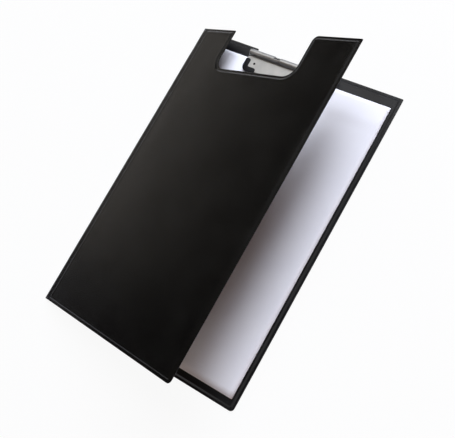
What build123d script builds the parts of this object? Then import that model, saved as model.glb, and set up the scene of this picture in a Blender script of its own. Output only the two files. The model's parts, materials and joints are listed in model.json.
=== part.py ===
from build123d import *
import math
import os

# Fold-over clipboard for A4 paper. Two stiff boards wrapped in black vinyl are joined by a
# strip of the same vinyl. A sprung metal clip is riveted to the lower board and stands in a
# notch of the cover. Millimetres, +Z up, +Y towards the clip, +X from the spine to the free
# edge. The origin is under the middle of the lower board, on the surface it lies on.

# Boards and their vinyl
panel_width = 230.0        # from the fold of the spine to the free edge
panel_height = 320.0
skin = 0.4                 # one ply of vinyl
board_core_thickness = 2.2
cover_core_thickness = 1.4
weld_width = 2.8           # flat rim where the two plies are welded together
wall = 0.5                 # vinyl between the stiff core and the foot of the rim
shoulder = 0.5             # slope of the vinyl over the edge of the core
corner = 4.0               # lower outer corners of the panels
top_corner = 1.2           # upper outer corners
strip_width = 6.5          # flexible vinyl on each side of the fold

# Cover as it stands half open
rest_angle = 23.5
closing_gap = 0.2          # between the closed cover and the paper

# Notch in the cover that the clip stands in
notch_width = 115.3
notch_depth = 43.8
notch_shift = -1.75        # towards the spine from the middle of the clip
notch_corner = 13.0
notch_lip_near = 1.5       # rounding at the mouth, on the spine's side
notch_lip_far = 6.0

# Shallow recess in the lower board behind the clip
recess_width = 94.0
recess_depth = 2.5
recess_corner = 1.0
hollow_share = 0.6         # most of a cut's depth that its inner roundings may take

# Paper
paper_width = 210.0
paper_height = 297.0
paper_thickness = 0.8
paper_shift = 0.8          # towards the free edge from the middle of the board
paper_top_gap = 13.3       # from the top edge of the board to the paper
paper_bend = 40.0          # radius where the paper rises onto the clip's base
paper_rise = 14.0          # length of that rise

# Clip
barrel_length = 96.2
clip_overhang = 2.9        # of the plastic corners past each end of the barrel
barrel_radius = 3.4
barrel_inset = 8.2         # from the top edge of the board to the pin
barrel_clearance = 1.2     # between the barrel and the base
barrel_end_angle = -10.0   # where the rolled sheet ends, at the back
lever_sheet = 0.9
lever_depth = 19.6         # from the pin to the front of the jaw
lever_drop = 1.95          # from the pin down to the middle of the plate
valley_radius = 0.7        # bend between the barrel and the plate
jaw_bend = 1.0
jaw_gap = 0.1              # between the jaw's steel and the paper, left for the corners
shoulder_start = 3.4       # from the pin forward to the shoulders
shoulder_run = 1.0

base_sheet = 0.8
base_inset = 5.6           # from the barrel's end to the base's own end
base_corner = 3.0
base_front = 0.9           # past the front of the jaw
base_back = 4.5            # behind the pin
ear_width = 6.0
ear_side_gap = 0.3         # between the base's ear and the barrel's end

pin_radius = 1.25
pin_clearance = 0.05       # running fit of the lever on the pin
pin_head_radius = 2.1
pin_head = 0.9
pin_head_bevel = 0.5

# Plastic corners of the clip
cap_wall = 0.8
cap_arm = 5.6              # width of each arm seen from above
cap_side_length = 14.0
cap_front_length = 15.5
cap_corner = 6.0
cap_inner_round = 1.6
cap_end_inside = 2.2       # roundings at the ends of the arms
cap_end_outside = 1.2
cap_bevel = 0.4
cap_paper_gap = 0.05
peg_side = 11.2            # from the clip's end to the peg
peg_front = 10.2           # from the clip's front to the peg
peg_radius = 1.2
peg_clearance = 0.05
peg_proud = 0.15
pad_reach = 14.0           # how far the pad under the plate reaches in

# Springs
spring_wire = 0.8          # across the flats of its six-sided section
spring_sides = 6
spring_turns = 4
spring_pitch = 1.4
spring_radius = 1.8        # of the middle of the wire
spring_offset = 17.3       # from the middle of the clip
spring_foot = 2.2          # how far its foot lies back on the base
spring_foot_bend = 1.0
spring_tail = 2.5          # length of its straight tail
spring_samples = 24        # points on each turn where the gap to its neighbours is measured
tail_lean = 30.0           # the tail leans forward by this angle
slot_width = 7.6           # slot in the barrel that a spring sits in
slot_gap = 0.05            # between the tail and the edge that it pushes

# Rivets
rivet_offset = 30.0
rivet_inset = 9.6          # from the top edge of the board
rivet_radius = 2.0
rivet_head_radius = 4.0
rivet_head_bevel = 0.8
rivet_head_gap = 0.05      # head stays this far above the resting surface
rivet_flare_radius = 2.5
rivet_flare = 0.5

# Pocket inside the cover
pocket_sheet = 0.25
pocket_height = 205.0
pocket_scoop_width = 60.0
pocket_scoop_depth = 9.0

# Worked out from the sizes above
board_thickness = board_core_thickness + 2 * skin
cover_thickness = cover_core_thickness + 2 * skin
half_stack = (board_thickness + cover_thickness) / 2
fold_radius = (half_stack + base_sheet + paper_thickness + closing_gap) / 2
fold_outer = fold_radius + skin
axis_x = -panel_width / 2 + fold_outer
axis_z = board_thickness / 2 + fold_radius
strip_end = strip_width - fold_outer
reach = panel_width - fold_outer
core_inset = weld_width + wall
clip_middle = reach - panel_width / 2
clip_width = barrel_length + 2 * clip_overhang
clip_x = axis_x + clip_middle
paper_x = axis_x + (strip_end + reach) / 2 + paper_shift
pin_y = panel_height / 2 - barrel_inset
pin_z = board_thickness + base_sheet + barrel_clearance + barrel_radius
paper_z = board_thickness + base_sheet + paper_thickness
rivet_y = panel_height / 2 - rivet_inset
rivet_hole_height = board_thickness + 2 * base_sheet
rest = math.radians(rest_angle)

# Both panels are drawn from the fold's axis outwards, on planes through their own middle.
board_plane = Plane(origin=(axis_x, 0, board_thickness / 2), x_dir=(1, 0, 0), z_dir=(0, 0, 1))
cover_plane = Plane(
    origin=(axis_x, 0, axis_z),
    x_dir=(math.cos(rest), 0, math.sin(rest)),
    z_dir=(-math.sin(rest), 0, math.cos(rest)),
).offset(fold_radius)

# The clip is drawn across its length: local x runs back from the pin and local y runs up.
clip_plane = Plane(origin=(clip_x, pin_y, pin_z), x_dir=(0, 1, 0), z_dir=(1, 0, 0))

# A cut in a panel's top edge: its middle, width, depth, and the roundings of its floor and of
# its mouth on the spine's side and on the free side.
notch_middle = clip_middle + notch_shift
notch = (notch_middle, notch_width, notch_depth, notch_corner, notch_lip_near, notch_lip_far)
recess = (clip_middle, recess_width, recess_depth, recess_corner, recess_corner, recess_corner)


def panel_face(plane, inset, cut):
    """Outline of a panel with a cut in its top edge, drawn inset inside its own edge."""
    middle, width, depth, inner_round, near_lip, far_lip = cut
    near = strip_end + inset
    far = reach - inset
    bottom = -panel_height / 2 + inset
    top = panel_height / 2 - inset
    cut_near = middle - width / 2 - inset
    cut_far = middle + width / 2 + inset
    floor = panel_height / 2 - depth - inset
    points = [
        (near, bottom), (far, bottom), (far, top), (cut_far, top),
        (cut_far, floor), (cut_near, floor), (cut_near, top), (near, top),
    ]
    outer = max(corner - inset, 0)
    top_outer = max(top_corner - inset, 0)
    lip_far = max(far_lip - inset, 0)
    lip_near = max(near_lip - inset, 0)
    hollow = min(inner_round + inset, hollow_share * depth)
    roundings = [0, outer, top_outer, lip_far, hollow, hollow, lip_near, 0]
    with BuildSketch(plane) as face:
        with BuildLine():
            FilletPolyline(*points, radius=roundings, close=True)
        make_face()
    return face.sketch


def panel_skin(plane, side, core_thickness, cut):
    """One vinyl skin: a flat welded rim and a dish drawn over its half of the core."""
    outwards = Axis(plane.origin, plane.z_dir * side)
    with BuildPart() as ply:
        extrude(panel_face(plane, 0, cut), amount=side * skin)
        extrude(panel_face(plane, weld_width, cut), amount=side * (core_thickness / 2 + skin))
        chamfer(ply.faces().sort_by(outwards)[-1].edges(), length=shoulder)
        extrude(panel_face(plane, core_inset, cut), amount=side * core_thickness / 2, mode=Mode.SUBTRACT)
    return ply


def strip_ply(inner_radius):
    """One ply of the spine strip: flat along each panel and bent round the fold's axis."""
    outer_radius = inner_radius + skin
    cover_angle = 90 + rest_angle
    along = Vector(math.cos(rest), math.sin(rest))
    out = Vector(-math.sin(rest), math.cos(rest))
    axis_point = Vector(axis_x, axis_z)
    board_end = axis_x + strip_end
    with BuildPart() as ply:
        with BuildSketch(Plane.XZ):
            with BuildLine():
                Line((board_end, axis_z - outer_radius), (axis_x, axis_z - outer_radius))
                CenterArc((axis_x, axis_z), outer_radius, 270, cover_angle - 270)
                Line(axis_point + out * outer_radius, axis_point + out * outer_radius + along * strip_end)
                Line(
                    axis_point + out * outer_radius + along * strip_end,
                    axis_point + out * inner_radius + along * strip_end,
                )
                Line(axis_point + out * inner_radius + along * strip_end, axis_point + out * inner_radius)
                CenterArc((axis_x, axis_z), inner_radius, cover_angle, 270 - cover_angle)
                Line((axis_x, axis_z - inner_radius), (board_end, axis_z - inner_radius))
                Line((board_end, axis_z - inner_radius), (board_end, axis_z - outer_radius))
            make_face()
        extrude(amount=panel_height / 2, both=True)
    return ply


def rivet_holes(radius, height):
    """Both rivets' holes, cut at this height through the piece that is being built."""
    with Locations((clip_x - rivet_offset, rivet_y, height), (clip_x + rivet_offset, rivet_y, height)):
        Cylinder(radius, rivet_hole_height, mode=Mode.SUBTRACT)


# Lower board: the stiff core between its outer and inner vinyl
with BuildPart() as board_core:
    extrude(panel_face(board_plane, core_inset, recess), amount=board_core_thickness / 2, both=True)
    rivet_holes(rivet_radius, board_thickness / 2)

outer_ply = panel_skin(board_plane, -1, board_core_thickness, recess)
with BuildPart() as board_outer_skin:
    add(outer_ply.part)
    rivet_holes(rivet_head_radius, 0)

inner_ply = panel_skin(board_plane, 1, board_core_thickness, recess)
with BuildPart() as board_inner_skin:
    add(inner_ply.part)
    rivet_holes(rivet_radius, board_thickness)

# Cover: the same build with a thinner core and the notch
with BuildPart() as cover_core:
    extrude(panel_face(cover_plane, core_inset, notch), amount=cover_core_thickness / 2, both=True)

cover_outer_skin = panel_skin(cover_plane, 1, cover_core_thickness, notch)
cover_inner_skin = panel_skin(cover_plane, -1, cover_core_thickness, notch)

# Pocket sheet welded inside the cover, open at its scooped top edge
pocket_plane = cover_plane.offset(-cover_thickness / 2)
pocket_near = strip_end + weld_width + shoulder
pocket_far = reach - weld_width - shoulder
pocket_bottom = -panel_height / 2 + weld_width + shoulder
with BuildPart() as cover_pocket:
    with BuildSketch(pocket_plane):
        with BuildLine():
            pocket_top = pocket_bottom + pocket_height
            scoop_near = (pocket_near + pocket_far - pocket_scoop_width) / 2
            scoop_far = scoop_near + pocket_scoop_width
            Polyline(
                (scoop_near, pocket_top), (pocket_near, pocket_top), (pocket_near, pocket_bottom),
                (pocket_far, pocket_bottom), (pocket_far, pocket_top), (scoop_far, pocket_top),
            )
            ThreePointArc(
                (scoop_far, pocket_top),
                ((scoop_near + scoop_far) / 2, pocket_top - pocket_scoop_depth),
                (scoop_near, pocket_top),
            )
        make_face()
    extrude(amount=-pocket_sheet)

# Spine strip: the outer and the inner vinyl run on across the fold, welded face to face
spine_strip_outer = strip_ply(fold_radius)
spine_strip_inner = strip_ply(fold_radius - skin)

# Paper: a thin stack of sheets that rises onto the clip's base under the jaw
jaw_front = pin_y - lever_depth
paper_top = panel_height / 2 - paper_top_gap
rise_end = jaw_front - base_front - paper_bend * math.tan(math.atan2(base_sheet, paper_rise) / 2)
with BuildPart() as paper_stack:
    with BuildSketch(Plane.YZ.offset(paper_x)):
        with BuildLine():
            FilletPolyline(
                (paper_top - paper_height, board_thickness + paper_thickness / 2),
                (rise_end - paper_rise, board_thickness + paper_thickness / 2),
                (rise_end, board_thickness + base_sheet + paper_thickness / 2),
                (paper_top, board_thickness + base_sheet + paper_thickness / 2),
                radius=paper_bend,
            )
        trace(line_width=paper_thickness)
    extrude(amount=paper_width / 2, both=True)

# Clip base: a flat plate riveted to the board, with an ear at each end that holds the pin
ear_inner = barrel_length / 2 + ear_side_gap
base_front_y = jaw_front - base_front
base_back_y = pin_y + base_back
with BuildPart() as clip_base:
    with BuildSketch(Plane.XY.offset(board_thickness)):
        with Locations((clip_x, (base_front_y + base_back_y) / 2)):
            RectangleRounded(barrel_length - 2 * base_inset, base_back_y - base_front_y, base_corner)
        with Locations((clip_x, pin_y)):
            Rectangle(2 * (ear_inner + base_sheet), ear_width)
    extrude(amount=base_sheet)
    for side in (-1, 1):
        ear_start = ear_inner if side > 0 else -ear_inner - base_sheet
        with BuildSketch(clip_plane.offset(ear_start)):
            Circle(ear_width / 2)
            with Locations((0, (board_thickness - pin_z) / 2)):
                Rectangle(ear_width, pin_z - board_thickness)
            Circle(pin_radius, mode=Mode.SUBTRACT)
        extrude(amount=base_sheet)
    rivet_holes(rivet_radius, board_thickness)

# Pin: a steel rod headed over at both ears
with BuildPart() as clip_pin:
    with BuildSketch(clip_plane.offset(-ear_inner - base_sheet)):
        Circle(pin_radius)
    extrude(amount=2 * (ear_inner + base_sheet))
    for side in (-1, 1):
        with BuildSketch(clip_plane.offset(side * (ear_inner + base_sheet))):
            Circle(pin_head_radius)
        extrude(amount=side * pin_head)
    ends = clip_pin.faces().sort_by(Axis.X)
    chamfer(ends[0].edges() + ends[-1].edges(), length=pin_head_bevel)

# Clip lever: one sheet with a turned-down jaw, a flat plate and a rolled barrel
roll_radius = barrel_radius - lever_sheet / 2
jaw_end = -lever_depth + lever_sheet / 2
jaw_bottom = paper_z + jaw_gap - pin_z
valley_y = valley_radius - lever_drop
valley_x = -math.sqrt((roll_radius + valley_radius) ** 2 - valley_y ** 2)
right_angle = 90.0
roll_start = math.degrees(math.atan2(valley_y, valley_x)) % 360
plate_width = clip_width - 2 * cap_wall
plate_corner = cap_corner - cap_wall
with BuildPart() as clip_lever:
    with BuildSketch(clip_plane):
        with BuildLine():
            FilletPolyline(
                (jaw_end, jaw_bottom), (jaw_end, -lever_drop), (valley_x, -lever_drop), radius=jaw_bend
            )
            CenterArc((valley_x, valley_y), valley_radius, 270, roll_start - right_angle)
            CenterArc((0, 0), roll_radius, roll_start, barrel_end_angle - roll_start)
        trace(line_width=lever_sheet)
    extrude(amount=plate_width / 2, both=True)
    with BuildSketch(Plane.XY.offset(board_thickness)):
        with BuildLine():
            half_plate = plate_width / 2
            half_barrel = barrel_length / 2
            shoulder_back = pin_y - shoulder_start
            shoulder_front = shoulder_back - shoulder_run
            back = pin_y + 2 * barrel_radius
            FilletPolyline(
                (clip_x - half_plate, jaw_front), (clip_x + half_plate, jaw_front),
                (clip_x + half_plate, shoulder_front), (clip_x + half_barrel, shoulder_back),
                (clip_x + half_barrel, back), (clip_x - half_barrel, back),
                (clip_x - half_barrel, shoulder_back), (clip_x - half_plate, shoulder_front),
                radius=[plate_corner, plate_corner, 0, 0, 0, 0, 0, 0],
                close=True,
            )
        make_face()
    extrude(amount=pin_z + barrel_radius, mode=Mode.INTERSECT)
    for side in (-1, 1):
        cheek_start = half_barrel - lever_sheet if side > 0 else -half_barrel
        with BuildSketch(clip_plane.offset(cheek_start)):
            Circle(barrel_radius)
        extrude(amount=lever_sheet)
    with BuildSketch(clip_plane.offset(-half_barrel)):
        Circle(pin_radius + pin_clearance)
    extrude(amount=barrel_length, mode=Mode.SUBTRACT)
    slot_edge = spring_radius - spring_wire / 2 - slot_gap
    slot_reach = 2 * barrel_radius
    slot_centre = Location((slot_edge + slot_reach / 2, 0, 0))
    for side in (-1, 1):
        with BuildSketch(clip_plane.offset(side * spring_offset - slot_width / 2)):
            with Locations(Location((0, 0, 0), (0, 0, tail_lean)) * slot_centre):
                Rectangle(slot_reach, 2 * slot_reach)
        extrude(amount=slot_width, mode=Mode.SUBTRACT)
    peg_x = clip_width / 2 - peg_side
    peg_y = jaw_front - cap_wall + peg_front
    plate_z = pin_z - lever_drop
    with Locations((clip_x - peg_x, peg_y, plate_z), (clip_x + peg_x, peg_y, plate_z)):
        Cylinder(peg_radius + peg_clearance, 2 * lever_sheet, mode=Mode.SUBTRACT)

# Plastic corners: moulded round the two front corners of the plate, each with a pad
# underneath and a peg up through the plate
plate_top = plate_z + lever_sheet / 2
plate_under = plate_z - lever_sheet / 2
cap_bottom = paper_z + cap_paper_gap
cap_front = jaw_front - cap_wall
cap_roundings = [
    cap_corner, cap_end_outside, cap_end_inside, cap_inner_round, cap_end_inside, cap_end_outside
]


def corner_cap(side):
    """The corner at the clip's left (-1) or right (1) end."""
    edge = clip_x + side * clip_width / 2
    with BuildPart() as cap:
        with BuildSketch(Plane.XY.offset(cap_bottom)):
            with BuildLine():
                FilletPolyline(
                    (edge, cap_front),
                    (edge - side * cap_front_length, cap_front),
                    (edge - side * cap_front_length, cap_front + cap_arm),
                    (edge - side * cap_arm, cap_front + cap_arm),
                    (edge - side * cap_arm, cap_front + cap_side_length),
                    (edge, cap_front + cap_side_length),
                    radius=cap_roundings,
                    close=True,
                )
            make_face()
        extrude(amount=plate_top + cap_wall - cap_bottom)
        top = cap.faces().sort_by(Axis.Z)[-1]
        chamfer(top.edges(), length=cap_bevel)
        with BuildSketch(Plane.XY.offset(cap_bottom)):
            with BuildLine():
                Polyline(
                    (edge - side * cap_arm / 2, cap_front + cap_arm / 2),
                    (edge - side * pad_reach, cap_front + cap_arm / 2),
                    (edge - side * pad_reach, peg_y),
                    (edge - side * peg_side, cap_front + pad_reach - cap_wall),
                    (edge - side * cap_arm / 2, cap_front + pad_reach - cap_wall),
                    close=True,
                )
            make_face()
        extrude(amount=plate_under - cap_bottom)
        add(clip_lever.part, mode=Mode.SUBTRACT)
        with Locations((edge - side * peg_side, peg_y, (plate_under + plate_top + peg_proud) / 2)):
            Cylinder(peg_radius, lever_sheet + peg_proud)
    return cap


corner_cap_left = corner_cap(-1)
corner_cap_right = corner_cap(1)


def biarc(start, start_direction, end, end_direction):
    """Two tangent arcs between two points of a curve that keep its direction at both."""
    span = end - start
    sum_of_directions = start_direction + end_direction
    along = span.dot(sum_of_directions)
    spread = 4 - sum_of_directions.dot(sum_of_directions)
    handle = (math.sqrt(along ** 2 + spread * span.dot(span)) - along) / spread
    first = start + start_direction * handle
    second = end - end_direction * handle
    middle = (first + second) * 0.5
    TangentArc(start, middle, tangent=start_direction)
    TangentArc(middle, end, tangent=second - first)


def clip_spring(side):
    """Torsion spring: its foot lies back on the base, its coil goes round the pin, and its
    tail stands up in the barrel's slot and pushes the slot's edge forward."""
    turns = spring_turns + tail_lean / 360
    length = turns * spring_pitch
    first_x = clip_x + side * (spring_offset - length / 2)
    wire_corner = spring_wire / 2 / math.cos(math.pi / spring_sides)
    foot_z = board_thickness + base_sheet + wire_corner
    slope = spring_pitch / (2 * math.pi * spring_radius)

    def on_coil(turn):
        angle = 2 * math.pi * turn
        point = Vector(
            first_x + side * spring_pitch * turn,
            pin_y + spring_radius * math.cos(angle),
            pin_z + spring_radius * math.sin(angle),
        )
        direction = Vector(side * slope, -math.sin(angle), math.cos(angle)).normalized()
        return point, direction

    start, start_direction = on_coil(0)
    end, end_direction = on_coil(turns)
    drop = (start.Z - foot_z) / start_direction.Z
    ankle = start - start_direction * drop
    foot = ankle + Vector(0, spring_foot + spring_foot_bend, 0)
    with BuildPart() as spring:
        with BuildLine() as wire:
            FilletPolyline(foot, ankle, start, radius=spring_foot_bend)
            for quarter in range(4 * spring_turns):
                biarc(*on_coil(quarter / 4), *on_coil((quarter + 1) / 4))
            biarc(*on_coil(spring_turns), end, end_direction)
            Line(end, end + end_direction * spring_tail)
        path = wire.wires()[0]
        with BuildSketch(Plane(origin=path @ 0, z_dir=path % 0)):
            RegularPolygon(spring_wire / 2, spring_sides, major_radius=False)
        sweep(path=path, clean=False)
    samples = spring_samples * spring_turns
    coil = [on_coil(i / spring_samples)[0] for i in range(samples + 1)]
    least = min(
        (coil[i] - coil[j]).length
        for i in range(samples + 1)
        for j in range(i + spring_samples // 2, samples + 1)
    )
    print(f"spring: length {path.length:.1f} mm, least gap to itself {least - spring_wire:.2f} mm")
    return spring


clip_spring_left = clip_spring(-1)
clip_spring_right = clip_spring(1)

# Rivets: headed under the board, flush with the vinyl, and flared over on the clip's base
with BuildPart() as clip_rivets:
    for side in (-1, 1):
        rivet_x = clip_x + side * rivet_offset
        flare_z = board_thickness + base_sheet
        with BuildSketch(Plane(origin=(rivet_x, rivet_y, 0), x_dir=(1, 0, 0), z_dir=(0, -1, 0))):
            with BuildLine():
                Polyline(
                    (0, rivet_head_gap), (rivet_head_radius - rivet_head_bevel, rivet_head_gap),
                    (rivet_head_radius, skin),
                    (rivet_radius, skin), (rivet_radius, flare_z), (rivet_flare_radius, flare_z),
                    (rivet_flare_radius, flare_z + rivet_flare), (0, flare_z + rivet_flare),
                    close=True,
                )
            make_face()
        revolve(axis=Axis((rivet_x, rivet_y, 0), (0, 0, 1)))

parts = {
    "board_core": board_core,
    "board_outer_skin": board_outer_skin,
    "board_inner_skin": board_inner_skin,
    "spine_strip_outer": spine_strip_outer,
    "spine_strip_inner": spine_strip_inner,
    "cover_core": cover_core,
    "cover_outer_skin": cover_outer_skin,
    "cover_inner_skin": cover_inner_skin,
    "cover_pocket": cover_pocket,
    "paper_stack": paper_stack,
    "clip_base": clip_base,
    "clip_pin": clip_pin,
    "clip_lever": clip_lever,
    "corner_cap_left": corner_cap_left,
    "corner_cap_right": corner_cap_right,
    "clip_spring_left": clip_spring_left,
    "clip_spring_right": clip_spring_right,
    "clip_rivets": clip_rivets,
}

os.makedirs("parts", exist_ok=True)
for name, piece in parts.items():
    piece.part.label = name
    export_step(piece.part, f"parts/{name}.step")
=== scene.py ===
import json
import math

import bpy
import numpy as np
from mathutils import Matrix, Vector
from mathutils.geometry import delaunay_2d_cdt


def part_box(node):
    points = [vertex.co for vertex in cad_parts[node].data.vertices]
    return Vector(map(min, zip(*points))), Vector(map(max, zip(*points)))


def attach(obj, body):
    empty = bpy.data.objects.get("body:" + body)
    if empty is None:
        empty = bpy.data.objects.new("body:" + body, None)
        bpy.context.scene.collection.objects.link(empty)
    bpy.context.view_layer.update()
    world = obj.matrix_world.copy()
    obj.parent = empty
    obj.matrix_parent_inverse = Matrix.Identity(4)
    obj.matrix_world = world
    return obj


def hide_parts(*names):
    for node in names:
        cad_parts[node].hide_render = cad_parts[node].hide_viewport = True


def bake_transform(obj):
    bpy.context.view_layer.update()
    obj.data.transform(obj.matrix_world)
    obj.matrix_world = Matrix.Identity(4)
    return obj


# Looks of a fold-over A4 clipboard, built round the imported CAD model. Lengths are millimetres,
# turned to metres where a mesh is made. The sections follow the clipboard as it is put together.
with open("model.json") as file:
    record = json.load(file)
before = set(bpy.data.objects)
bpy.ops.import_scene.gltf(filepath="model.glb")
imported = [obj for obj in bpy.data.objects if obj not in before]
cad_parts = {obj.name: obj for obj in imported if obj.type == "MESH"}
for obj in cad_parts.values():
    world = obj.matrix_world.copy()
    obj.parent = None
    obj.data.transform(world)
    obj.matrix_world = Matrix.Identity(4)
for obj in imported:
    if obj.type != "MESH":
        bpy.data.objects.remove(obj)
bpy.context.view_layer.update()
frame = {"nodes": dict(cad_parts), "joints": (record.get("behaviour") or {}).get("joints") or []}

# Board stiffener. A sheet of grey millboard, cut to shape and drilled for the two rivets. It lies
# loose between the two plies of vinyl, so only its own colour and fibres are needed.
MM = 0.001


def linear(hex_colour):
    """A colour written as sRGB hex, as linear red, green, blue and alpha."""
    channels = np.array([int(hex_colour[i:i + 2], 16) for i in (1, 3, 5)]) / 255
    low = channels / 12.92
    high = ((channels + 0.055) / 1.055) ** 2.4
    return (*np.where(channels <= 0.04045, low, high).tolist(), 1.0)


def fill(tree, node, inputs):
    """Gives a node's inputs, as a row in the order of its sockets or by their names or numbers. An input is
    a value, a socket to be joined, or a node, which is joined by its first output in use."""
    sources = inputs if isinstance(inputs, dict) else dict(enumerate(inputs))
    for socket, source in sources.items():
        if isinstance(source, bpy.types.Node):
            source = next(output for output in source.outputs if output.enabled)
        if isinstance(source, bpy.types.NodeSocket):
            tree.links.new(source, node.inputs[socket])
        else:
            node.inputs[socket].default_value = source


def add_node(tree, kind, inputs=(), **settings):
    """One shader node with its settings and its inputs."""
    node = tree.nodes.new(kind)
    for name, value in settings.items():
        setattr(node, name, value)
    fill(tree, node, inputs)
    return node


def new_finish(name, **constants):
    """An empty material with one Principled shader, whose constants stay on its own sockets."""
    finish = bpy.data.materials.new(name)
    finish.use_nodes = True
    tree = finish.node_tree
    shader = tree.nodes["Principled BSDF"]
    fill(tree, shader, {socket.replace("_", " "): value for socket, value in constants.items()})
    place = add_node(tree, "ShaderNodeTexCoord").outputs["Object"]
    return finish, tree, shader, place


def wear_material(node, finish):
    """Gives a CAD node its only material."""
    node.data.materials.clear()
    node.data.materials.append(finish)


# Millboard is pressed waste paper: matt, and grey with darker and lighter fibres about 2 mm long.
fibre_length = 2.0
fibre_relief = 0.1
millboard, tree, shader, place = new_finish("grey_millboard", Roughness=0.9)
fibres = add_node(tree, "ShaderNodeTexNoise", {
    "Vector": place, "Scale": 1 / (fibre_length * MM), "Detail": 6.0,
})
# A mix of two colours keeps its factor in socket 0 and the colours in 6 and 7.
tone = add_node(
    tree, "ShaderNodeMix", {0: fibres, 6: linear("#5c564d"), 7: linear("#8d857a")}, data_type="RGBA"
)
relief = add_node(tree, "ShaderNodeBump", {"Height": fibres, "Distance": fibre_relief * MM})
fill(tree, shader, {"Base Color": tone, "Normal": relief})
for name in ("board_core", "cover_core"):
    wear_material(frame["nodes"][name], millboard)

# Vinyl of the two panels. PVC sheet 0.4 mm thick, black, embossed with a fine leather grain. An outer
# and an inner ply are laid over each stiff board and heat-welded to each other in a flat rim, so
# the vinyl rises over the board's edge and draws tight across its face.
hinge = next(joint for joint in frame["joints"] if joint["name"] == "cover_hinge")
fold_x = hinge["pos_m"][0] / MM
fold_z = hinge["pos_m"][2] / MM
rest = math.radians(-hinge["range_deg"][0])
lowest, highest = (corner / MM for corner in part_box("board_outer_skin"))
strip_end = lowest.x - fold_x
reach = highest.x - fold_x
half_height = highest.y
board_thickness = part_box("board_inner_skin")[1].z / MM
cover_thickness = 2.2
skin = 0.4
fold_radius = fold_z - board_thickness / 2
lower_corner = 4.0
upper_corner = 1.2
clip_middle = -fold_x

# The cover's notch round the clip, and the shallow recess behind the clip in the board's edge.
notch_width = 115.3
notch_depth = 43.8
notch_shift = -1.75
notch_corner = 13.0
notch_lips = (6.0, 1.5)
recess_width = 94.0
recess_depth = 2.5
recess_corner = 1.0
recess_lips = (1.0, 1.0)

# The rim from its edge inwards: the flat weld, the groove at its foot, the rise to the face and the bead past
# its top, with the distances of its rings from the edge. The back leaves the weld at its foot and meets the
# board at its top.
weld_width = 2.5
weld_edge = 0.28
blunt_edge = 0.35
groove_depth = 0.07
groove_place = 0.5
groove_width = 0.35
rise_width = 1.5
rise_fullness = 0.6
bead = 0.06
bead_place = 0.4
bead_width = 0.8
rim_steps = (12, 8, 6, 5, 4.4, 4.0, 3.6, 3.2, 2.9, 2.6, 2.3, 2.0, 1.7, 1.2, 0.6, 0.25, 0.08, 0)
back_foot = 0.3
back_top = 0.55
back_gap = 0.02

# The face's soft waves, and the grid that it is made of.
wave_depth = 0.07
wave_across = 17.0
wave_along = 23.0
wave_drift = 41.0
wave_offset = 1.3
face_step = 5.0
face_clear = 3


def rounded_outline(corners, radii, inset, spacing=4.0, arc_points=9):
    """A closed outline from an anticlockwise polygon: every side moves in by the inset, and every corner is
    an arc whose radius shrinks by the inset, or grows where the corner is hollow, up to a share of the
    shorter side beside it."""
    least_radius = 0.02
    side_share = 0.6
    corners = np.asarray(corners, float)
    side = np.roll(corners, -1, 0) - corners
    length = np.linalg.norm(side, axis=1, keepdims=True)
    side = side / length
    inward = np.stack([-side[:, 1], side[:, 0]], 1)
    before = np.roll(side, 1, 0)
    before_in = np.roll(inward, 1, 0)
    cross = before[:, 0] * side[:, 1] - before[:, 1] * side[:, 0]
    turn = np.arctan2(cross, (before * side).sum(1))[:, None]
    hand = np.sign(turn)
    corner = corners + inset * (before_in + inward) / (1 + (before_in * inward).sum(1, keepdims=True))
    room = np.linalg.norm(np.roll(corner, -1, 0) - corner, axis=1, keepdims=True)
    most = side_share * np.minimum(room, np.roll(room, 1, 0)) / np.tan(abs(turn) / 2)
    radius = np.clip(np.asarray(radii, float)[:, None] - hand * inset, least_radius, most)
    tangent = radius * np.tan(abs(turn) / 2)
    centre = corner - before * tangent + hand * radius * before_in
    angle = (turn * np.linspace(0, 1, arc_points))[:, :, None]
    first = (-hand * before_in)[:, None, :]
    across = np.stack([-first[:, :, 1], first[:, :, 0]], 2)
    arcs = centre[:, None] + radius[:, None] * (np.cos(angle) * first + np.sin(angle) * across)
    starts = arcs[:, -1]
    ends = np.roll(arcs[:, 0], -1, 0)
    stretches = []
    for arc, start, end, whole in zip(arcs, starts, ends, length[:, 0]):
        share = np.linspace(0, 1, max(int(whole / spacing), 1) + 1)[1:-1, None]
        stretches += [arc, start + (end - start) * share]
    return np.concatenate(stretches)


def panel_corners(cut_width, cut_depth, cut_corner, cut_lips, shift=0.0):
    """A panel's polygon, drawn from the fold outwards, with a cut in its top edge, and its corner radii. The
    two corners at the fold stay square, because the spine goes on from there."""
    square = 0.05
    cut_near = clip_middle + shift - cut_width / 2
    cut_far = clip_middle + shift + cut_width / 2
    floor = half_height - cut_depth
    corners = [
        (strip_end, -half_height), (reach, -half_height), (reach, half_height), (cut_far, half_height),
        (cut_far, floor), (cut_near, floor), (cut_near, half_height), (strip_end, half_height),
    ]
    radii = [
        square, lower_corner, upper_corner, cut_lips[0], cut_corner, cut_corner, cut_lips[1], square,
    ]
    return corners, radii


def on_panel(angle, middle, across, along, height):
    """Places points of a panel, whose middle plane passes the fold's axis at this distance and is turned
    round it by the angle. Across and along lie in that plane, and height stands square on it."""
    away = middle + height
    x = fold_x + across * math.cos(angle) - away * math.sin(angle)
    z = fold_z + across * math.sin(angle) + away * math.cos(angle)
    return np.stack([x, along + 0 * x, z], -1)


def make_piece(name, points, faces, finish):
    """A smooth mesh piece from points in millimetres and faces that look outwards."""
    mesh = bpy.data.meshes.new(name)
    mesh.from_pydata((np.asarray(points, float).reshape(-1, 3) * MM).tolist(), [], faces)
    mesh.update()
    mesh.shade_smooth()
    piece = bpy.data.objects.new(name, mesh)
    bpy.context.scene.collection.objects.link(piece)
    mesh.materials.append(finish)
    return piece


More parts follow.
